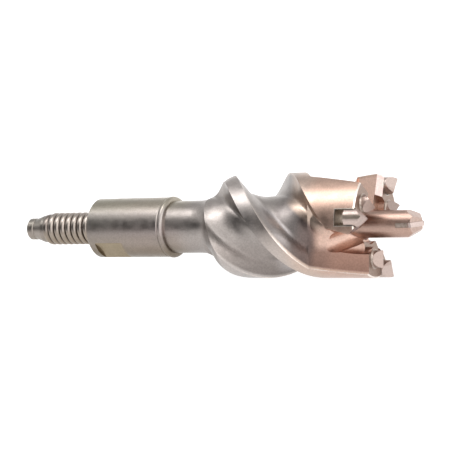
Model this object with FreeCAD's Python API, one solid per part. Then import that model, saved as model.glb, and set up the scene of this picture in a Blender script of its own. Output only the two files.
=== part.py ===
# Screw-on breakthrough drill head: shank for a rounded rod thread, collar with wrench flats, three
# start auger, three arm cutting head with brazed hard metal studs, and a centre pilot.
# All sizes are in millimetres. The tool is drawn standing on +Z, with the collar's rear face at
# zero, and is laid down along +X at the end. Angles on the tool are counted about its axis.

import FreeCAD, Part
import math
import os
from FreeCAD import Base

# Diameters
cutting_diameter = 45.0
side_relief = 1.4
core_diameter = 23.5
neck_diameter = 21.6
bead_diameter = 25.4
collar_diameter = 24.8
thread_root_diameter = 11.7
stub_diameter = 9.2
pilot_diameter = 10.8

# Places along the axis, from the collar's rear face
shank_length = 35.45
collar_length = 34.4
neck_end = 49.65
head_front = 127.45
tip_height = 147.9

# Shank
stub_length = 3.2
stub_waist = 8.7
stub_chamfer = 0.4
cone_length = 4.6

# Collar and bead
collar_chamfer = 0.75
bead_radius = 1.4
bead_groove = 0.35
flat_start = 3.5
flat_length = 12.8
flat_width = 22.5
flat_angle = 147.0

# Shoulder from the neck to the auger
shoulder_slope = 46.0
neck_fillet = 13.2
shoulder_round = 9.7

# Auger: three lands, and a flute whose wall is one curve. Its inner control points are given as the
# angle behind the land's trailing edge and the height above the core.
arm_count = 3
auger_lead = 97.4
land_angle = 23.4
flute_control = ((9.3, 7.15), (15.4, 1.9), (22.8, 2.3), (65.1, 0.2), (78.1, 0.45), (87.3, 0.2))
edge_lean = 3.4
front_break = 0.5

# Head
head_length = 23.95
first_arm_angle = 59.2
arm_tilt = 12.0
trailing_offset = 6.85
leading_angle = 43.0
leading_tilt = 15.0
leading_bevel = 2.85
gullet_radius = 4.1
gullet_slope = 45.0
gullet_angle = 63.0
gullet_start = 16.85
gullet_floor = 13.15
channel_radius = 2.6
channel_start = 13.6
channel_along = 9.2
channel_slope = 10.0
recess_diameter = 24.8
recess_depth = 2.5
boss_wall = 1.25
groove_width = 2.5
groove_depth = 1.9

# Hard metal studs: the inner one sits a little behind the middle of its arm, the outer one ahead of it
stud_diameter = 6.85
pocket_clearance = 0.25
pocket_depth = 8.1
inner_pitch_radius = 13.7
inner_offset = 1.15
outer_lead_angle = 23.3
outer_stud_length = 7.55
roof_height = 3.65
roof_slope = 42.0

# Pilot and its plate
pilot_bevel_back = 6.7
pilot_bevel_slope = 30.0
slot_back = 10.0
slot_clearance = 0.05
plate_angle = 97.0
plate_thickness = 1.8
plate_diameter = 11.3
plate_length = 8.4
plate_point_slope = 30.0
plate_relief = 22.0
plate_margin = 1.1
pilot_setback = 0.75

# How the tool lies: turn about its own axis
lie_turn = 44.0

# Values worked out from the driving sizes
cutter_reach = 1.5
cutter_overlap = 0.05
body_diameter = cutting_diameter - 2 * side_relief
body_radius = body_diameter / 2
core_radius = core_diameter / 2
collar_radius = collar_diameter / 2
neck_radius = neck_diameter / 2
pilot_radius = pilot_diameter / 2
stud_radius = stud_diameter / 2
outer_pitch_radius = cutting_diameter / 2 - stud_radius
pocket_radius = stud_radius + pocket_clearance
arm_step = 360.0 / arm_count
flute_start = neck_end - neck_diameter / 4
arm_start = head_front - head_length
ridge_z = head_front + roof_height
outside = body_diameter


def polar(radius, degrees, z=0.0):
    """Point at a radius and an angle about the tool axis."""
    turn = math.radians(degrees)
    return Base.Vector(radius * math.cos(turn), radius * math.sin(turn), z)


def turned(shape, degrees):
    """Copy of a shape turned about the tool axis."""
    copy = shape.copy()
    copy.rotate(Base.Vector(0, 0, 0), Base.Vector(0, 0, 1), degrees)
    return copy


def patterned(shape, start=0.0):
    """The shape repeated once for each arm."""
    return [turned(shape, start + k * arm_step) for k in range(arm_count)]


def revolved(outline):
    """Solid of revolution of a closed list of edges drawn in the XZ plane."""
    face = Part.Face(Part.Wire(outline))
    return face.revolve(Base.Vector(0, 0, 0), Base.Vector(0, 0, 1), 360)


def segment(start, end):
    """Straight edge in the XZ plane between two (radius, height) pairs."""
    return Part.LineSegment(Base.Vector(start[0], 0, start[1]), Base.Vector(end[0], 0, end[1])).toShape()


def chain(points):
    """Straight edges through a list of (radius, height) pairs."""
    return [segment(points[i], points[i + 1]) for i in range(len(points) - 1)]


def arc(centre, radius, from_degrees, to_degrees):
    """Circular edge in the XZ plane; angles run from the radius axis towards the height axis."""
    points = []
    for degrees in (from_degrees, (from_degrees + to_degrees) / 2, to_degrees):
        turn = math.radians(degrees)
        points.append(Base.Vector(centre[0] + radius * math.cos(turn), 0, centre[1] + radius * math.sin(turn)))
    return Part.Arc(*points).toShape()


def end_of(edge):
    """The last (radius, height) pair of an edge drawn by arc."""
    point = edge.valueAt(edge.LastParameter)
    return (point.x, point.z)


def start_of(edge):
    """The first (radius, height) pair of an edge drawn by arc."""
    point = edge.valueAt(edge.FirstParameter)
    return (point.x, point.z)


def shank():
    """Stub, waist, lead-in cone and the root cylinder that the rod thread stands on."""
    end = -shank_length
    stub_radius = stub_diameter / 2
    waist_radius = stub_waist / 2
    root_radius = thread_root_diameter / 2
    stub_end = end + stub_length
    points = [
        (0, end),
        (stub_radius - stub_chamfer, end),
        (stub_radius, end + stub_chamfer),
        (stub_radius, stub_end - stub_chamfer),
        (waist_radius, stub_end),
        (root_radius, stub_end + cone_length),
        (root_radius, collar_chamfer),
        (0, collar_chamfer),
        (0, end),
    ]
    return revolved(chain(points))


def collar_outline():
    """Outline of collar, bead, neck, shoulder, auger blank and head blank, from the axis outwards."""
    bead_base = bead_diameter / 2 - bead_radius
    bead_centre = (bead_base, collar_length + bead_radius)
    rear_turn = math.degrees(math.acos((collar_radius - bead_groove - bead_base) / bead_radius))
    bead = arc(bead_centre, bead_radius, -rear_turn, 90)
    groove_z = start_of(bead)[1]
    slope = math.radians(shoulder_slope)
    fillet = arc((neck_radius + neck_fillet, neck_end), neck_fillet, 180, 180 - shoulder_slope)
    foot = end_of(fillet)
    rise = body_radius - shoulder_round * (1 - math.cos(slope)) - foot[0]
    brow = (foot[0] + rise, foot[1] + rise / math.tan(slope))
    round_centre = (body_radius - shoulder_round, brow[1] + shoulder_round * math.sin(slope))
    shoulder = arc(round_centre, shoulder_round, -shoulder_slope, 0)
    outline = chain([
        (0, 0),
        (collar_radius - collar_chamfer, 0),
        (collar_radius, collar_chamfer),
        (collar_radius, groove_z - bead_groove),
        start_of(bead),
    ])
    outline.append(bead)
    outline += chain([end_of(bead), (neck_radius, end_of(bead)[1]), (neck_radius, neck_end)])
    outline.append(fillet)
    outline.append(segment(foot, brow))
    outline.append(shoulder)
    outline += chain([
        (body_radius, round_centre[1]),
        (body_radius, head_front - front_break),
        (body_radius - front_break, head_front),
        (0, head_front),
        (0, 0),
    ])
    return outline


def flute_section(z):
    """Closed outline of one flute at a height, just behind the first arm's land."""
    trailing = trailing_edge_angle(z)
    leading = trailing - (arm_step - land_angle)
    poles = [polar(body_radius + cutter_reach, trailing + edge_lean, z)]
    poles += [polar(core_radius + height, trailing - back, z) for back, height in flute_control]
    poles.append(polar(body_radius + cutter_reach, leading, z))
    wall = Part.BSplineCurve()
    wall.buildFromPoles(poles, False, 3)
    rim_high = polar(outside, trailing, z)
    rim_low = polar(outside, leading, z)
    rim_middle = polar(outside, (trailing + leading) / 2, z)
    rim = Part.Arc(rim_low, rim_middle, rim_high).toShape()
    up = Part.LineSegment(poles[-1], rim_low).toShape()
    down = Part.LineSegment(rim_high, poles[0]).toShape()
    return Part.Wire([wall.toShape(), up, rim, down])


def trailing_edge_angle(z):
    """Angle of the first land's trailing edge at a height in the auger."""
    wall_offset = trailing_wall_offset(arm_start)
    at_arm = first_arm_angle - math.degrees(math.asin(wall_offset / body_radius))
    return at_arm + (z - arm_start) * 360.0 / auger_lead


def trailing_wall_offset(z):
    """Distance of an arm's trailing wall behind its inner stud's radius, at a height."""
    return trailing_offset + (head_front - z) * math.tan(math.radians(arm_tilt))


def leading_edge_height():
    """Height where the auger's leading edge reaches the arm's straight leading wall."""
    auger_rate = 360.0 / auger_lead
    wall_rate = math.degrees(math.tan(math.radians(leading_tilt)) / body_radius)
    auger_angle = trailing_edge_angle(arm_start) + land_angle - first_arm_angle
    wall_angle = leading_angle - wall_rate * head_length
    return arm_start + (wall_angle - auger_angle) / (auger_rate - wall_rate)


def twisted(profile, z_from, z_to):
    """Profile carried up the axis while it turns with the auger's lead."""
    height = z_to - z_from
    spine = Part.Wire(Part.LineSegment(Base.Vector(0, 0, z_from), Base.Vector(0, 0, z_to)).toShape())
    guide = Part.makeHelix(auger_lead, height, body_radius)
    guide.rotate(Base.Vector(0, 0, 0), Base.Vector(0, 0, 1), trailing_edge_angle(z_from))
    guide.translate(Base.Vector(0, 0, z_from))
    sweep = Part.BRepOffsetAPI.MakePipeShell(spine)
    sweep.setAuxiliarySpine(Part.Wire(guide.Edges), True, 0)
    sweep.add(profile)
    sweep.build()
    sweep.makeSolid()
    return sweep.shape()


def half_space(origin, normal, along):
    """Large block whose one face lies on a plane; it fills the side that the normal points to."""
    reach = 3 * outside
    side = normal.cross(along)
    corner = origin - along * reach - side * reach
    corners = [corner, corner + along * 2 * reach, corner + along * 2 * reach + side * 2 * reach,
               corner + side * 2 * reach, corner]
    return Part.Face(Part.makePolygon(corners)).extrude(normal * 2 * reach)


def trailing_side(arm_angle):
    """Everything behind an arm's trailing wall."""
    tilt = math.radians(arm_tilt)
    back = polar(1, arm_angle - 90)
    normal = back * math.cos(tilt) + Base.Vector(0, 0, 1) * math.sin(tilt)
    origin = polar(trailing_offset, arm_angle - 90, head_front)
    return half_space(origin, normal, polar(1, arm_angle))


def leading_side(arm_angle):
    """Everything ahead of an arm's leading wall."""
    tilt = math.radians(leading_tilt)
    wall = arm_angle + leading_angle
    normal = polar(1, wall + 90) * math.cos(tilt) - Base.Vector(0, 0, 1) * math.sin(tilt)
    return half_space(Base.Vector(0, 0, head_front), normal, polar(1, wall))


def flute_and_valley():
    """Cutter for one flute, and for the valley that it becomes between two arms."""
    valley_start = leading_edge_height()
    flute = twisted(flute_section(flute_start), flute_start, valley_start + cutter_overlap)
    ring = Part.makeCylinder(outside, valley_start - arm_start + 1, Base.Vector(0, 0, arm_start))
    arm_block = ring.cut(trailing_side(first_arm_angle))
    flute = flute.cut(arm_block)
    room = Part.makeCylinder(outside, head_front - valley_start + 1, Base.Vector(0, 0, valley_start))
    behind = first_arm_angle - arm_step
    valley = room.common(trailing_side(first_arm_angle)).common(leading_side(behind))
    return flute, valley


def gullet():
    """Sloping round trough that leads dust from the middle of the head into a valley."""
    slope = math.radians(gullet_slope)
    angle = first_arm_angle - arm_step + gullet_angle
    direction = polar(-math.sin(slope), angle) + Base.Vector(0, 0, math.cos(slope))
    normal = polar(math.cos(slope), angle) + Base.Vector(0, 0, math.sin(slope))
    start = polar(gullet_floor, angle, head_front - gullet_start) + normal * gullet_radius
    return Part.makeCylinder(gullet_radius, 7 * gullet_radius, start - direction * 2 * gullet_radius, direction)


def local(arm_angle, along, across, z=0.0):
    """Point given in an arm's own frame: along its radius, and across towards its leading side."""
    return polar(along, arm_angle, z) + polar(across, arm_angle + 90)


def channel(arm_angle):
    """Shallow round channel beside the inner edge of an arm's trailing wall, running out at its rear end."""
    lean = math.radians(arm_tilt + channel_slope)
    direction = polar(math.sin(lean), arm_angle + 90) + Base.Vector(0, 0, math.cos(lean))
    rear = head_front - channel_start
    start = local(arm_angle, channel_along, -trailing_wall_offset(rear) - channel_radius, rear)
    return Part.makeCylinder(channel_radius, 2 * channel_start, start, direction)


def recess():
    """Clearance in the middle of the head: a flat floor that runs out between the arms, with a boss
    left standing round each inner stud, and a round groove at the pilot's root."""
    floor = head_front - recess_depth
    base = Base.Vector(0, 0, floor)
    height = recess_depth + 1
    room = Part.makeCylinder(body_radius + 1, height, base)
    ring = room.cut(Part.makeCylinder(recess_diameter / 2, height, base))
    for k in range(arm_count):
        arm_angle = first_arm_angle + k * arm_step
        room = room.cut(ring.cut(trailing_side(arm_angle)).cut(leading_side(arm_angle)))
        centre = stud_centre(inner_pitch_radius, arm_angle, floor)
        room = room.cut(Part.makeCylinder(pocket_radius + boss_wall, height, centre))
    corner = groove_width / 3
    low = floor - groove_depth
    inner = pilot_radius
    outer = pilot_radius + groove_width
    outline = chain([(inner, floor + 1), (inner, low + corner), (inner + corner, low), (outer - corner, low),
                     (outer, low + corner), (outer, floor + 1), (inner, floor + 1)])
    return room, revolved(outline)


def front_bevel(arm_angle):
    """Wedge taken off the front edge of an arm's leading wall."""
    wall = arm_angle + leading_angle
    edge = polar(1, wall)
    normal = polar(1, wall + 90) + Base.Vector(0, 0, 1)
    normal.normalize()
    origin = polar(leading_bevel, wall - 90, head_front)
    sector = Part.makeCylinder(outside, 4 * leading_bevel, Base.Vector(0, 0, head_front - 2 * leading_bevel),
                               Base.Vector(0, 0, 1), leading_angle)
    sector = turned(sector, wall - leading_angle / 2)
    return half_space(origin, normal, edge).common(sector)


def stud_centre(pitch_radius, arm_angle, z):
    """Centre of an inner or outer stud's pocket."""
    if pitch_radius == inner_pitch_radius:
        return local(arm_angle, pitch_radius, -inner_offset, z)
    return polar(pitch_radius, arm_angle + outer_lead_angle, z)


def pocket(pitch_radius, arm_angle):
    """Blind round hole for a stud."""
    centre = stud_centre(pitch_radius, arm_angle, head_front - pocket_depth)
    return Part.makeCylinder(pocket_radius, pocket_depth + roof_height + 1, centre)


def pilot():
    """Pilot shaft with front bevels and the slot for its plate."""
    base = head_front - recess_depth - groove_depth - gullet_radius - groove_width
    shaft = Part.makeCylinder(pilot_radius, tip_height - base, Base.Vector(0, 0, base))
    bevel_z = tip_height - pilot_bevel_back
    slope = math.radians(pilot_bevel_slope)
    for side in (90, -90):
        origin = polar(pilot_radius, side, bevel_z)
        normal = polar(math.cos(slope), side) + Base.Vector(0, 0, math.sin(slope))
        shaft = shaft.cut(half_space(origin, normal, Base.Vector(1, 0, 0)))
    point = math.radians(plate_point_slope)
    for side in (0, 180):
        origin = Base.Vector(0, 0, tip_height - pilot_setback)
        normal = polar(math.sin(point), side) + Base.Vector(0, 0, math.cos(point))
        shaft = shaft.cut(half_space(origin, normal, Base.Vector(0, 1, 0)))
    slot_width = plate_thickness + 2 * slot_clearance
    slot = Part.makeBox(2 * pilot_diameter, slot_width, slot_back + 1,
                        Base.Vector(-pilot_diameter, -slot_width / 2, tip_height - slot_back))
    return shaft.cut(slot)


def tip_plate():
    """Hard metal plate with a pointed, relieved roof and a tapered foot."""
    half = plate_diameter / 2
    foot = half / 2
    drop = half * math.tan(math.radians(plate_point_slope))
    base = tip_height - plate_length
    points = [
        (0, tip_height),
        (half, tip_height - drop),
        (half, tip_height - drop - plate_margin),
        (foot, base),
        (-foot, base),
        (-half, tip_height - drop - plate_margin),
        (-half, tip_height - drop),
        (0, tip_height),
    ]
    face = Part.Face(Part.makePolygon([Base.Vector(u, -plate_thickness / 2, z) for u, z in points]))
    plate = face.extrude(Base.Vector(0, plate_thickness, 0))
    relief = math.radians(plate_relief)
    point = math.radians(plate_point_slope)
    for side in (0, 180):
        edge = polar(math.cos(point), side) - Base.Vector(0, 0, math.sin(point))
        trailing = polar(1, side - 90)
        up = edge.cross(trailing)
        if up.z < 0:
            up = up * -1
        normal = up * math.cos(relief) + trailing * math.sin(relief)
        cutter = half_space(Base.Vector(0, 0, tip_height), normal, edge)
        keep = Part.makeBox(plate_diameter, 2 * plate_diameter, plate_diameter,
                            Base.Vector(0, -plate_diameter, tip_height - plate_diameter / 2))
        plate = plate.cut(cutter.common(turned(keep, side)))
    return plate


def stud(pitch_radius, arm_angle):
    """Round stud with a chisel roof; the outer one is ground to the cutting diameter."""
    if pitch_radius == inner_pitch_radius:
        base = head_front - pocket_depth + pocket_clearance
        radial = arm_angle
    else:
        base = ridge_z - outer_stud_length
        radial = arm_angle + outer_lead_angle
    centre = stud_centre(pitch_radius, arm_angle, base)
    blank = Part.makeCylinder(stud_radius, ridge_z - base, centre)
    slope = math.radians(roof_slope)
    ridge = stud_centre(pitch_radius, arm_angle, ridge_z)
    for side in (90, -90):
        normal = polar(math.sin(slope), radial + side) + Base.Vector(0, 0, math.cos(slope))
        blank = blank.cut(half_space(ridge, normal, polar(1, radial)))
    envelope = Part.makeCylinder(cutting_diameter / 2, tip_height, Base.Vector(0, 0, 0))
    return blank.common(envelope)


def wrench_flats():
    """Two opposite wrench flats, each ending in a rounded run-out towards the bead."""
    cutters = []
    for side in (0, 180):
        depth_at = flat_width / 2
        block = Part.makeBox(collar_radius, 2 * collar_diameter, flat_length,
                             Base.Vector(depth_at, -collar_diameter, flat_start))
        cutters.append(turned(block, flat_angle + side))
    return cutters


def laid_down(shape):
    """Tool axis turned onto +X, pilot forward, and turned about it to the way it lies."""
    result = shape.copy()
    result.rotate(Base.Vector(0, 0, 0), Base.Vector(1, 0, 1), 180)
    result.rotate(Base.Vector(0, 0, 0), Base.Vector(1, 0, 0), -lie_turn)
    return result


def body():
    """The one steel piece."""
    steel = revolved(collar_outline())
    flute, valley = flute_and_valley()
    steel = steel.cut(patterned(flute) + patterned(valley))
    arms = [first_arm_angle + k * arm_step for k in range(arm_count)]
    room, groove = recess()
    steel = steel.cut(patterned(gullet()))
    steel = steel.cut([channel(angle) for angle in arms])
    steel = steel.cut(room)
    steel = steel.cut([front_bevel(angle) for angle in arms])
    steel = steel.fuse(turned(pilot(), plate_angle))
    steel = steel.cut(groove)
    steel = steel.cut([pocket(inner_pitch_radius, angle) for angle in arms])
    steel = steel.cut([pocket(outer_pitch_radius, angle) for angle in arms])
    steel = steel.fuse(shank())
    return steel.cut(wrench_flats()).removeSplitter()


def main():
    os.makedirs("parts", exist_ok=True)
    pieces = {"body": body()}
    for k in range(arm_count):
        angle = first_arm_angle + k * arm_step
        pieces["inner_stud_%d" % (k + 1)] = stud(inner_pitch_radius, angle)
        pieces["outer_stud_%d" % (k + 1)] = stud(outer_pitch_radius, angle)
    pieces["pilot_tip"] = turned(tip_plate(), plate_angle)
    for name, shape in pieces.items():
        placed = laid_down(shape)
        print(name, "solids", len(placed.Solids), "valid", placed.isValid(), "volume", round(placed.Volume, 1))
        placed.exportStep("parts/%s.step" % name)


main()
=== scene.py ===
# Looks of the breakthrough drill bit head: materials, rod thread, braze, floor, camera and light.
# Lengths are in metres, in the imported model's frame: +X runs along the tool axis to the pilot.
import bmesh
import bpy
import math
from collections import namedtuple
from mathutils import Matrix, Vector


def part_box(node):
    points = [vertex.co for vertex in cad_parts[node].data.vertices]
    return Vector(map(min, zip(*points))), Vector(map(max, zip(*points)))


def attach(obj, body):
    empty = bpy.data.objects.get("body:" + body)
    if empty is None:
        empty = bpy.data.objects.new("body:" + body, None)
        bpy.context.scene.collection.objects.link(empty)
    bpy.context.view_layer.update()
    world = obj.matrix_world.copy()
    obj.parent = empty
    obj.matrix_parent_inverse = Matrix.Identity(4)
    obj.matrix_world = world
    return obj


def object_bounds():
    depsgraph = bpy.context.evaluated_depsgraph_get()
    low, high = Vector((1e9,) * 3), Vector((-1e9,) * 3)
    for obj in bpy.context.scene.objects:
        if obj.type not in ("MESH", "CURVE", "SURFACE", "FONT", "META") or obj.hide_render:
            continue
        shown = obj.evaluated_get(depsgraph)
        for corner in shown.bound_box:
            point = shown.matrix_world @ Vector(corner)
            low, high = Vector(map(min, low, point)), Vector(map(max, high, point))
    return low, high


MM = 0.001

# Sizes of the part, as its source has them
head_front = 127.45 * MM
arm_count = 3
auger_lead = 97.4 * MM
lie_turn = math.radians(44.0)
flat_angle = math.radians(147.0)
plate_angle = math.radians(97.0)

# Rod thread: it starts at the edge of the shank's cone and ends inside the collar's rear face
thread_root = 5.85 * MM
thread_crest = 6.9 * MM
thread_pitch = 2.93 * MM
thread_start = -26.535 * MM
thread_end = 0.5 * MM
cone_edge = -27.65 * MM
cone_slope = 0.33

# Directions across the tool, toward the side it is seen from and upward in the picture, and along it
side = Vector((0, -math.cos(lie_turn), math.sin(lie_turn)))
upward = Vector((0, math.sin(lie_turn), math.cos(lie_turn)))
tool_axis = Vector((1, 0, 0))

# The way the wrench flat on the seen side faces
flat_turn = flat_angle - lie_turn
flat_direction = Vector((0, -math.sin(flat_turn), math.cos(flat_turn)))

# The point that the camera and the lights are aimed at
aim = Vector((60.05 * MM, 0, 0))

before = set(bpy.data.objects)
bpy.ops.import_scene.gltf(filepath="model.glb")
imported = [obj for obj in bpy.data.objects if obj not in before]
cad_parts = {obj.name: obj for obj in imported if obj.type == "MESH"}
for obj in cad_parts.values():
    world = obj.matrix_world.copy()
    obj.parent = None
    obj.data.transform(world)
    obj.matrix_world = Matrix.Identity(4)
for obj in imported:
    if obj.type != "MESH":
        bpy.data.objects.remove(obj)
cad_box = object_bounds()


def pocket_centres():
    """Y and Z of each stud's axis, which runs through the middle of its box."""
    centres = {}
    for name in sorted(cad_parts):
        if "stud" in name:
            low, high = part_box(name)
            centres[name] = ((low[1] + high[1]) / 2, (low[2] + high[2]) / 2)
    return centres


pockets = pocket_centres()


def material(name, metallic, roughness=0.5):
    """New node material; returns it with its node tree and its shader. A linked roughness comes later."""
    made = bpy.data.materials.new(name)
    made.use_nodes = True
    tree = made.node_tree
    shader = tree.nodes["Principled BSDF"]
    shader.inputs["Metallic"].default_value = metallic
    shader.inputs["Roughness"].default_value = roughness
    shader.inputs["IOR"].default_value = 1.5
    return made, tree, shader


def node(tree, kind, **inputs):
    """Adds a node and sets its inputs by name, or links them when given a socket."""
    made = tree.nodes.new(kind)
    for key, value in inputs.items():
        put(tree, made.inputs[key], value)
    return made


def put(tree, socket, value):
    """Links a socket into another, or sets it to a number or a colour."""
    if isinstance(value, bpy.types.NodeSocket):
        tree.links.new(value, socket)
    elif isinstance(value, tuple):
        socket.default_value = (*value, 1.0)
    else:
        socket.default_value = value


def object_place(tree):
    """Place of the shaded point in the object's own frame."""
    return tree.nodes.new("ShaderNodeTexCoord").outputs["Object"]


def ramp(tree, factor, stops):
    """Softly eased colour ramp over a factor; stops are (place, grey or colour) pairs."""
    made = tree.nodes.new("ShaderNodeValToRGB")
    made.color_ramp.interpolation = "EASE"
    elements = made.color_ramp.elements
    while len(elements) < len(stops):
        elements.new(0.5)
    for element, (place, colour) in zip(elements, stops):
        element.position = place
        if isinstance(colour, float):
            colour = (colour, colour, colour)
        element.color = (*colour, 1.0)
    put(tree, made.inputs["Fac"], factor)
    return made.outputs["Color"]


def maths(tree, operation, *values):
    """Math node on sockets or numbers."""
    made = tree.nodes.new("ShaderNodeMath")
    made.operation = operation
    for socket, value in zip(made.inputs, values):
        put(tree, socket, value)
    return made.outputs[0]


def mixed(tree, factor, first, second, blend="MIX"):
    """Colour mix of sockets or colours."""
    made = tree.nodes.new("ShaderNodeMix")
    made.data_type = "RGBA"
    made.blend_type = blend
    put(tree, made.inputs[0], factor)
    put(tree, made.inputs[6], first)
    put(tree, made.inputs[7], second)
    return made.outputs[2]


def multiplied(tree, first, second):
    """One colour times another."""
    return mixed(tree, 1.0, first, second, "MULTIPLY")


def noise(tree, place, scale, detail=2.0, roughness=0.5):
    """Noise texture's value at a place."""
    made = node(tree, "ShaderNodeTexNoise", Vector=place, Scale=scale, Detail=detail, Roughness=roughness)
    return made.outputs[0]


def distance_across(tree, y, z):
    """Length of a pair of distances across the tool."""
    across = node(tree, "ShaderNodeCombineXYZ", Y=y, Z=z)
    length = tree.nodes.new("ShaderNodeVectorMath")
    length.operation = "LENGTH"
    put(tree, length.inputs[0], across.outputs[0])
    return length.outputs["Value"]


def along_direction(tree, y, z, direction):
    """How far a place lies along a direction across the tool."""
    return maths(tree, "ADD", maths(tree, "MULTIPLY", y, direction.y),
                 maths(tree, "MULTIPLY", z, direction.z))


def span(tree, value, start, end):
    """Share of the way from a start to an end; a ramp stops it at 0 and 1."""
    return maths(tree, "DIVIDE", maths(tree, "SUBTRACT", value, start), end - start)


def rise(tree, value, start, end):
    """Mask that rises softly from 0 at the start to 1 at the end; it falls where the end is lower."""
    return ramp(tree, span(tree, value, start, end), [(0.0, 0.0), (1.0, 1.0)])


def band(tree, value, lower, upper):
    """Mask that rises over the lower pair of values and falls again over the upper pair."""
    return maths(tree, "MULTIPLY", rise(tree, value, *lower), rise(tree, value, upper[1], upper[0]))


def layer(tree, tint, colour, *masks):
    """Lays a colour over a tint where all the masks are 1."""
    whole = masks[0]
    for mask in masks[1:]:
        whole = maths(tree, "MULTIPLY", whole, mask)
    return mixed(tree, whole, tint, colour)


def mottled(tree, place, tint, scale, darkest):
    """Fine darker specks over a tint."""
    specks = noise(tree, place, scale, 3.0, 0.6)
    return multiplied(tree, tint, ramp(tree, specks, [(0.3, darkest), (0.7, 1.0)]))


def uneven_roughness(tree, shader, place, scale, lowest, highest):
    """Roughness that wanders between two values."""
    rough = ramp(tree, noise(tree, place, scale), [(0.3, lowest), (0.7, highest)])
    put(tree, shader.inputs["Roughness"], rough)


def fine_bump(tree, shader, place, scale, strength, detail=2.0):
    """Grain of a tenth of a millimetre at most."""
    bump = node(tree, "ShaderNodeBump", Height=noise(tree, place, scale, detail), Strength=strength)
    bump.inputs["Distance"].default_value = 0.1 * MM
    put(tree, shader.inputs["Normal"], bump.outputs[0])


# Where a shaded point of the steel lies. The place is a vector; x, y and z are its parts. Raised counts
# from the axis upward in the picture, spiral runs from 0 to 1 between one flute and the next, and ahead is
# how far the surface faces along the tool.
Spot = namedtuple("Spot", "place x y z radius raised spiral ahead")


def steel_spot(tree):
    """The sockets of a Spot."""
    place = object_place(tree)
    x, y, z = node(tree, "ShaderNodeSeparateXYZ", Vector=place).outputs
    raised = along_direction(tree, y, z, upward)
    toward = along_direction(tree, y, z, side)
    turn = maths(tree, "MULTIPLY", maths(tree, "ARCTAN2", raised, toward), arm_count / (2 * math.pi))
    twist = maths(tree, "MULTIPLY", x, arm_count / auger_lead)
    spiral = maths(tree, "FRACT", maths(tree, "ADD", turn, twist))
    normal = tree.nodes.new("ShaderNodeNewGeometry").outputs["Normal"]
    ahead = node(tree, "ShaderNodeSeparateXYZ", Vector=normal).outputs[0]
    return Spot(place, x, y, z, distance_across(tree, y, z), raised, spiral, ahead)


def wandering_share(tree, spot):
    """Share of the tool's length up to the point, with an uneven border for the heat tint."""
    rear = -35.5 * MM
    length = 183.5 * MM
    wander = 8 * MM
    uneven = maths(tree, "MULTIPLY", maths(tree, "SUBTRACT", noise(tree, spot.place, 45.0), 0.5), wander)
    return span(tree, maths(tree, "ADD", spot.x, uneven), rear, rear + length)


def outside_tint(tree, along):
    """Outside of the tool, from the stub to the head: warm grey, then copper from the head's heat."""
    return ramp(tree, along, [
        (0.0, (0.33, 0.30, 0.265)),
        (0.19, (0.37, 0.34, 0.31)),
        (0.37, (0.40, 0.355, 0.33)),
        (0.39, (0.40, 0.36, 0.335)),
        (0.50, (0.43, 0.385, 0.36)),
        (0.62, (0.43, 0.39, 0.37)),
        (0.70, (0.47, 0.41, 0.375)),
        (0.75, (0.55, 0.425, 0.355)),
        (0.80, (0.545, 0.375, 0.30)),
        (1.0, (0.54, 0.37, 0.30)),
    ])


def shank_tone(tree, raised):
    """Tone of the shank and collar by height in the picture. It is fixed colour that stands in for what
    is partly shade and reflection in the photo."""
    half_height = 13 * MM
    return ramp(tree, span(tree, raised, -half_height, half_height), [
        (0.08, (0.54, 0.49, 0.41)),
        (0.3, (0.73, 0.69, 0.66)),
        (0.45, (1.0, 0.96, 0.97)),
        (0.6, (1.0, 1.0, 1.0)),
        (0.71, (0.82, 0.82, 0.82)),
        (0.9, (0.96, 0.96, 0.85)),
    ])


def flute_tint(tree, spot, along):
    """Floor of the flutes and valleys, and the pilot's shaft. The dark stretch before the head, the darker
    underside, the valley's tone and the two light bands along each flute are fixed colour that stands in
    for what is partly shade and reflection in the photo."""
    floor_tint = ramp(tree, along, [
        (0.50, (0.36, 0.325, 0.305)),
        (0.66, (0.37, 0.335, 0.315)),
        (0.695, (0.24, 0.215, 0.205)),
        (0.72, (0.13, 0.115, 0.11)),
        (0.75, (0.165, 0.125, 0.115)),
        (0.775, (0.33, 0.21, 0.17)),
        (0.83, (0.455, 0.275, 0.215)),
        (1.0, (0.455, 0.275, 0.215)),
    ])
    half_height = 22 * MM
    valley_height = (-11 * MM, -7 * MM)
    valley_start = (105 * MM, 109 * MM)
    wall_phase = ((0.17, 0.3), (0.65, 0.68))
    wall_stretch = ((90 * MM, 99 * MM), (105 * MM, 112 * MM))
    light_phase = ((0.74, 0.82), (0.87, 0.93))
    light_stretch = ((82 * MM, 89 * MM), (94 * MM, 99 * MM))
    pilot_border = (5.8 * MM, 5.6 * MM)
    underside = ramp(tree, span(tree, spot.raised, -half_height, half_height), [
        (0.08, (0.62, 0.6, 0.59)),
        (0.25, (0.8, 0.78, 0.77)),
        (0.43, (1.0, 1.0, 1.0)),
    ])
    tint = multiplied(tree, floor_tint, underside)
    tint = layer(tree, tint, (0.67, 0.465, 0.38),
                 rise(tree, spot.raised, *valley_height), rise(tree, spot.x, *valley_start))
    tint = layer(tree, tint, (0.54, 0.42, 0.345),
                 band(tree, spot.spiral, *wall_phase), band(tree, spot.x, *wall_stretch))
    tint = layer(tree, tint, (0.48, 0.44, 0.43),
                 band(tree, spot.spiral, *light_phase), band(tree, spot.x, *light_stretch))
    return layer(tree, tint, (0.45, 0.305, 0.25), rise(tree, spot.radius, *pilot_border))


def with_wrench_flat(tree, spot, tint):
    """Dark olive colour laid on the wrench flat on the seen side."""
    height = (11.1 * MM, 11.2 * MM)
    start = (3.4 * MM, 3.6 * MM)
    run_out = (15.5 * MM, 17.5 * MM)
    facing = along_direction(tree, spot.y, spot.z, flat_direction)
    return layer(tree, tint, (0.27, 0.215, 0.14),
                 rise(tree, facing, *height), band(tree, spot.x, start, run_out))


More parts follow.
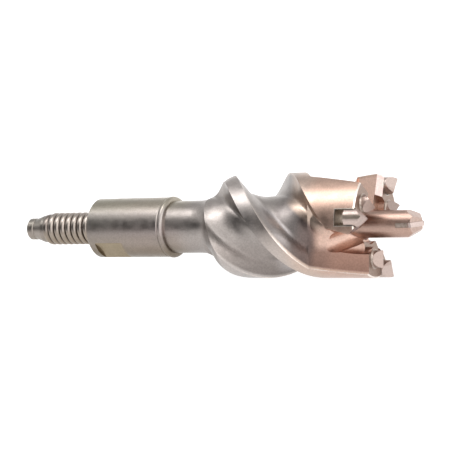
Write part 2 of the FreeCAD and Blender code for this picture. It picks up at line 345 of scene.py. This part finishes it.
def with_head_faces_painted_light(tree, spot, tint):
    """The head's front face, its leading bevel, its bright outer edge, and the pilot's front bevels. They
    are told apart by how far the surface faces ahead. Their colours are partly the copper of these faces
    and partly painted light: the front face's darker brown is painted shade, and the paler bevels and the
    near-white outer edge are painted highlights."""
    front_facing = (0.9, 0.97)
    front_start = (124 * MM, 124.5 * MM)
    bevel_facing = ((0.62, 0.68), (0.74, 0.8))
    bevel_start = (120 * MM, 121 * MM)
    edge_radius = (20.55 * MM, 20.7 * MM)
    edge_start = (126.9 * MM, 127.0 * MM)
    pilot_facing = (0.3, 0.4)
    pilot_start = (140 * MM, 141 * MM)
    # Front face: darker brown, painted shade
    tint = layer(tree, tint, (0.325, 0.235, 0.19),
                 rise(tree, spot.ahead, *front_facing), rise(tree, spot.x, *front_start))
    # Leading bevel: paler, painted highlight
    tint = layer(tree, tint, (0.5, 0.39, 0.36),
                 band(tree, spot.ahead, *bevel_facing), rise(tree, spot.x, *bevel_start))
    # Outer edge of the front: near white, painted highlight
    tint = layer(tree, tint, (0.95, 0.86, 0.78),
                 rise(tree, spot.radius, *edge_radius), rise(tree, spot.x, *edge_start))
    # Pilot's front bevels: paler, painted highlight
    return layer(tree, tint, (0.5, 0.375, 0.325),
                 rise(tree, spot.ahead, *pilot_facing), rise(tree, spot.x, *pilot_start))


def with_pocket_braze(tree, spot, tint):
    """Colour of the braze on the walls of the studs' pockets."""
    wall = (3.98 * MM, 3.88 * MM)
    pocket_floor = (119.1 * MM, 119.2 * MM)
    near = []
    for centre_y, centre_z in pockets.values():
        off_y = maths(tree, "SUBTRACT", spot.y, centre_y)
        off_z = maths(tree, "SUBTRACT", spot.z, centre_z)
        near.append(rise(tree, distance_across(tree, off_y, off_z), *wall))
    nearest = near[0]
    for mask in near[1:]:
        nearest = maths(tree, "MAXIMUM", nearest, mask)
    return layer(tree, tint, (0.6, 0.535, 0.47), nearest, rise(tree, spot.x, *pocket_floor))


def with_land_edges(tree, spot, tint):
    """Thin bright edges of the lands, uneven along their length."""
    inner = (20.7 * MM, 20.85 * MM)
    outer = (21.0 * MM, 21.05 * MM)
    start = (70 * MM, 78 * MM)
    patches = ramp(tree, noise(tree, spot.place, 220.0, 3.0), [(0.35, 0.35), (0.6, 0.9)])
    return layer(tree, tint, (0.72, 0.64, 0.58),
                 band(tree, spot.radius, inner, outer), rise(tree, spot.x, *start), patches)


def steel_material():
    """Blasted steel: warm grey shank, collar and auger, copper heat tint at the head."""
    made, tree, shader = material("blasted_steel", 1.0)
    auger_border = (40 * MM, 50 * MM)
    flute_border = (20.6 * MM, 19.6 * MM)
    spot = steel_spot(tree)
    along = wandering_share(tree, spot)
    auger = rise(tree, spot.x, *auger_border)
    sunk = rise(tree, spot.radius, *flute_border)
    outside = outside_tint(tree, along)
    tint = layer(tree, outside, flute_tint(tree, spot, along), auger, sunk)
    tint = mixed(tree, auger, multiplied(tree, tint, shank_tone(tree, spot.raised)), tint)
    tint = with_wrench_flat(tree, spot, tint)
    tint = with_head_faces_painted_light(tree, spot, tint)
    tint = with_pocket_braze(tree, spot, tint)
    tint = with_land_edges(tree, spot, tint)
    clouds = ramp(tree, noise(tree, spot.place, 60.0), [(0.35, 0.95), (0.65, 1.0)])
    colour = multiplied(tree, mottled(tree, spot.place, tint, 1500.0, 0.83), clouds)
    put(tree, shader.inputs["Base Color"], colour)
    uneven_roughness(tree, shader, spot.place, 300.0, 0.31, 0.39)
    fine_bump(tree, shader, spot.place, 3500.0, 0.25)
    return made


def thread_material():
    """Bright rolled thread, with painted shade: darker in the grooves and towards the underside."""
    made, tree, shader = material("thread_steel", 1.0, 0.3)
    place = object_place(tree)
    y, z = node(tree, "ShaderNodeSeparateXYZ", Vector=place).outputs[1:]
    height = span(tree, distance_across(tree, y, z), thread_root, thread_crest)
    half_height = 7 * MM
    # Painted shade: the thread darkens from its crests down into its grooves
    shade = ramp(tree, height, [
        (0.0, (0.06, 0.05, 0.045)),
        (0.4, (0.24, 0.21, 0.185)),
        (0.8, (0.4, 0.36, 0.32)),
    ])
    # Painted shade: the thread darkens towards the underside
    tone = ramp(tree, span(tree, along_direction(tree, y, z, upward), -half_height, half_height), [
        (0.1, (0.66, 0.6, 0.53)),
        (0.35, (0.8, 0.75, 0.7)),
        (0.5, (1.0, 0.97, 0.97)),
    ])
    shade = multiplied(tree, shade, tone)
    put(tree, shader.inputs["Base Color"], mottled(tree, place, shade, 900.0, 0.85))
    fine_bump(tree, shader, place, 2600.0, 0.15)
    return made


def hard_metal(name, outer_tone, inner_tone):
    """Sintered hard metal: pale and fine grained, with one tone near the axis and one further out. The
    outer studs are darker where they reach the cutting circle. In the photo they are ground there, and here
    only this colour shows it: the darker colour is painted shade in place of the ground face."""
    made, tree, shader = material(name, 1.0)
    inner_border = (17.3 * MM, 17.2 * MM)
    cutting_border = (22.35 * MM, 22.45 * MM)
    place = object_place(tree)
    y, z = node(tree, "ShaderNodeSeparateXYZ", Vector=place).outputs[1:]
    radius = distance_across(tree, y, z)
    tint = layer(tree, outer_tone, inner_tone, rise(tree, radius, *inner_border))
    # Painted shade on the outer studs where they reach the cutting circle, in place of a ground face
    tint = layer(tree, tint, (0.33, 0.27, 0.225), rise(tree, radius, *cutting_border))
    put(tree, shader.inputs["Base Color"], mottled(tree, place, tint, 1400.0, 0.88))
    uneven_roughness(tree, shader, place, 500.0, 0.4, 0.5)
    fine_bump(tree, shader, place, 4000.0, 0.12)
    return made


def braze_material():
    """Braze metal: silvery, a little brown, with a dull skin."""
    made, tree, shader = material("braze_metal", 1.0)
    place = object_place(tree)
    skin = noise(tree, place, 700.0, 3.0, 0.6)
    put(tree, shader.inputs["Base Color"],
        ramp(tree, skin, [(0.35, (0.27, 0.215, 0.18)), (0.65, (0.43, 0.355, 0.31))]))
    uneven_roughness(tree, shader, place, 400.0, 0.32, 0.5)
    fine_bump(tree, shader, place, 1200.0, 0.3, 3.0)
    return made


def bridge(made, before, after):
    """Joins two rings of corners with a strip of faces."""
    for j in range(len(before)):
        k = (j + 1) % len(before)
        made.faces.new((before[j], before[k], after[k], after[j]))


def cap(made, first, last):
    """Closes the two ends of a run of rings."""
    made.faces.new(first)
    made.faces.new(list(reversed(last)))


def placed_piece(name, made, finish, smoothed):
    """Turns a bmesh into a piece that rides on the tool."""
    bmesh.ops.recalc_face_normals(made, faces=made.faces)
    mesh = bpy.data.meshes.new(name)
    made.to_mesh(mesh)
    made.free()
    if smoothed:
        mesh.shade_smooth()
    mesh.materials.append(finish)
    piece = bpy.data.objects.new(name, mesh)
    bpy.context.scene.collection.objects.link(piece)
    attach(piece, "root")


def rod_thread(finish):
    """Rounded right-hand thread standing on the shank's root cylinder. It is closed at both ends and grows
    to its full height over the first turn."""
    steps_per_turn = 56
    profile_steps = 16
    first_turn = 0.5
    fade_turns = 0.9
    crest_power = 3
    sunk = 0.02 * MM
    foot_radius = thread_root - 0.7 * MM
    foot_reach = 0.8
    turns = (thread_end - thread_start) / thread_pitch
    steps = int(turns * steps_per_turn)
    made = bmesh.new()
    rings = []
    for i in range(steps + 1):
        travel = turns * i / steps
        turn = 2 * math.pi * (travel + first_turn)
        fade = min(1.0, travel / fade_turns)
        centre = thread_start + travel * thread_pitch
        outline = []
        for j in range(profile_steps + 1):
            u = -1 + 2 * j / profile_steps
            x = centre + u * thread_pitch / 2
            root = thread_root - sunk - max(0.0, cone_edge - x) * cone_slope
            lift = 1 - abs(u) ** crest_power
            outline.append((x, root + (thread_crest - thread_root) * lift * fade))
        for u in (foot_reach, -foot_reach):
            outline.append((centre + u * thread_pitch / 2, foot_radius))
        rings.append([made.verts.new((x, -radius * math.sin(turn), radius * math.cos(turn)))
                      for x, radius in outline])
    for before, after in zip(rings, rings[1:]):
        bridge(made, before, after)
    cap(made, rings[0], rings[-1])
    placed_piece("rod_thread", made, finish, True)


def stud_braze(name, centre, phase, finish):
    """Uneven fillet of braze round an inner stud's foot, on its boss."""
    around = 64
    # Distances from the stud's axis and heights above the head's front, in millimetres. The innermost
    # distance is just inside the stud.
    inmost = 3.38
    profile = ((4.0, -0.1), (3.92, 0.05), (3.72, 0.12), (3.57, 0.27), (3.48, 0.5),
               (inmost, 0.62), (inmost, -0.1))
    centre_y, centre_z = centre
    made = bmesh.new()
    rings = []
    for i in range(around):
        turn = 2 * math.pi * i / around
        swell = 1 + 0.25 * math.sin(2 * turn + phase) + 0.12 * math.sin(5 * turn + 2 * phase)
        ring = []
        for reach, height in profile:
            radius = (inmost + (reach - inmost) * swell) * MM
            lift = (height * swell if height > 0 else height) * MM
            ring.append(made.verts.new((head_front + lift, centre_y + radius * math.cos(turn),
                                        centre_z + radius * math.sin(turn))))
        rings.append(ring)
    for i in range(around):
        bridge(made, rings[i], rings[(i + 1) % around])
    placed_piece(name, made, finish, True)


def tip_braze(finish):
    """Braze that fills the pilot's slot behind the plate, a little below the shaft's surface."""
    half_width = 0.94 * MM
    reach = 5.22 * MM
    slot_floor = 137.88 * MM
    plate_back = 143.3 * MM
    arc_steps = 8
    turn = lie_turn - plate_angle
    along = Vector((0, math.sin(turn), math.cos(turn)))
    across = Vector((0, math.cos(turn), -math.sin(turn)))
    outline = []
    for sign in (1, -1):
        for i in range(arc_steps + 1):
            u = sign * half_width * (1 - 2 * i / arc_steps)
            outline.append(along * sign * math.sqrt(reach ** 2 - u ** 2) + across * u)
    made = bmesh.new()
    rear, front = [[made.verts.new(point + x * tool_axis) for point in outline]
                   for x in (slot_floor, plate_back)]
    cap(made, rear, front)
    bridge(made, rear, front)
    placed_piece("tip_braze", made, finish, False)


def dress_tool():
    """Gives the CAD nodes their materials, and adds the thread and the braze."""
    steel = steel_material()
    stud = hard_metal("stud_hard_metal", (0.52, 0.42, 0.38), (0.45, 0.35, 0.31))
    tip = hard_metal("tip_hard_metal", (0.62, 0.51, 0.47), (0.62, 0.51, 0.47))
    for name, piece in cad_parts.items():
        finish = steel if name == "body" else tip if name == "pilot_tip" else stud
        for slot in piece.material_slots:
            slot.material = finish
    rod_thread(thread_material())
    braze = braze_material()
    phase_step = 2.1
    for k in (1, 2, 3):
        stud_braze("stud_braze_%d" % k, pockets["inner_stud_%d" % k], phase_step * k, braze)
    tip_braze(braze)


def pale_floor():
    """Plain pale floor just under the tool."""
    half = 4.0
    gap = 0.2 * MM
    height = cad_box[0][2] - gap
    corners = [(-half, -half, height), (half, -half, height), (half, half, height), (-half, half, height)]
    mesh = bpy.data.meshes.new("floor")
    mesh.from_pydata(corners, [], [(0, 1, 2, 3)])
    floor = bpy.data.objects.new("floor", mesh)
    bpy.context.scene.collection.objects.link(floor)
    paint, tree, shader = material("floor_paint", 0.0, 0.9)
    tone = ramp(tree, noise(tree, object_place(tree), 30.0), [(0.3, 0.3), (0.7, 0.32)])
    put(tree, shader.inputs["Base Color"], tone)
    shader.inputs["Emission Color"].default_value = (1, 1, 1, 1)
    shader.inputs["Emission Strength"].default_value = 0.9
    mesh.materials.append(paint)


def photo_camera():
    """Camera fitted to the photo: the tool's axis swings out of the picture plane, pilot end nearer."""
    roll = math.radians(0.835)
    swing = math.radians(28.94)
    distance = 0.7526
    picture_width = 450
    shift = 1.25
    back = math.sin(swing) * tool_axis + math.cos(swing) * side
    level = math.cos(swing) * tool_axis - math.sin(swing) * side
    right = math.cos(roll) * level - math.sin(roll) * upward
    up = math.sin(roll) * level + math.cos(roll) * upward
    view = bpy.data.cameras.new("camera")
    view.sensor_width = 36.0
    view.lens = 147.28
    view.shift_y = shift / picture_width
    view.clip_end = 50.0
    camera = bpy.data.objects.new("camera", view)
    bpy.context.scene.collection.objects.link(camera)
    placed = Matrix((right, up, back)).transposed().to_4x4()
    placed.translation = aim + distance * back
    camera.matrix_world = placed
    bpy.context.scene.camera = camera


def softbox(name, elevation, swing, distance, size, power):
    """Area light aimed at the tool. Elevation is counted round the tool's axis from level, on the side of
    -Y, and swing along the axis towards the pilot, both in degrees."""
    lamp = bpy.data.lights.new(name, "AREA")
    lamp.shape = "RECTANGLE"
    lamp.size, lamp.size_y = size
    lamp.energy = power
    made = bpy.data.objects.new(name, lamp)
    bpy.context.scene.collection.objects.link(made)
    lift, turn = math.radians(elevation), math.radians(swing)
    way = Vector((math.sin(turn), -math.cos(lift) * math.cos(turn), math.sin(lift) * math.cos(turn)))
    made.location = aim + way * distance
    made.rotation_euler = (-way).to_track_quat("-Z", "Y").to_euler()


def studio_world():
    """Pale studio, graded round the tool's axis. It is brighter ahead of the tool, and has a dark opening
    behind it, on the side that is seen."""
    front_gain = 1.4
    world = bpy.data.worlds.new("studio")
    world.use_nodes = True
    bpy.context.scene.world = world
    tree = world.node_tree
    way = tree.nodes.new("ShaderNodeTexCoord").outputs["Generated"]
    x, y, z = node(tree, "ShaderNodeSeparateXYZ", Vector=way).outputs
    around = maths(tree, "ARCTAN2", z, maths(tree, "MULTIPLY", y, -1.0))
    around = maths(tree, "DIVIDE", around, math.pi)
    shade = ramp(tree, around, [
        (0.0, 1.0),
        (0.12, 0.85),
        (0.2, 0.03),
        (0.4, 0.03),
        (0.52, 1.0),
        (0.66, 1.0),
        (0.75, 0.5),
        (1.0, 0.6),
    ])
    ahead = ramp(tree, maths(tree, "ADD", x, 0.5), [(0.29, 0.0), (0.4, 1.0)])
    front = ramp(tree, around, [(0.0, 0.7), (0.2, 1.0), (0.64, 1.0), (0.78, 0.5), (1.0, 0.5)])
    front = multiplied(tree, front, (front_gain, front_gain, front_gain))
    background = tree.nodes["Background"]
    put(tree, background.inputs["Color"], mixed(tree, ahead, shade, front))
    background.inputs["Strength"].default_value = 1.2


dress_tool()
pale_floor()
photo_camera()
softbox("key_light", 110, -15, 1.1, (0.7, 0.4), 4.4)
softbox("end_light", 105, 50, 1.2, (0.6, 0.6), 2.6)
studio_world()
bpy.context.scene.view_settings.view_transform = "Standard"
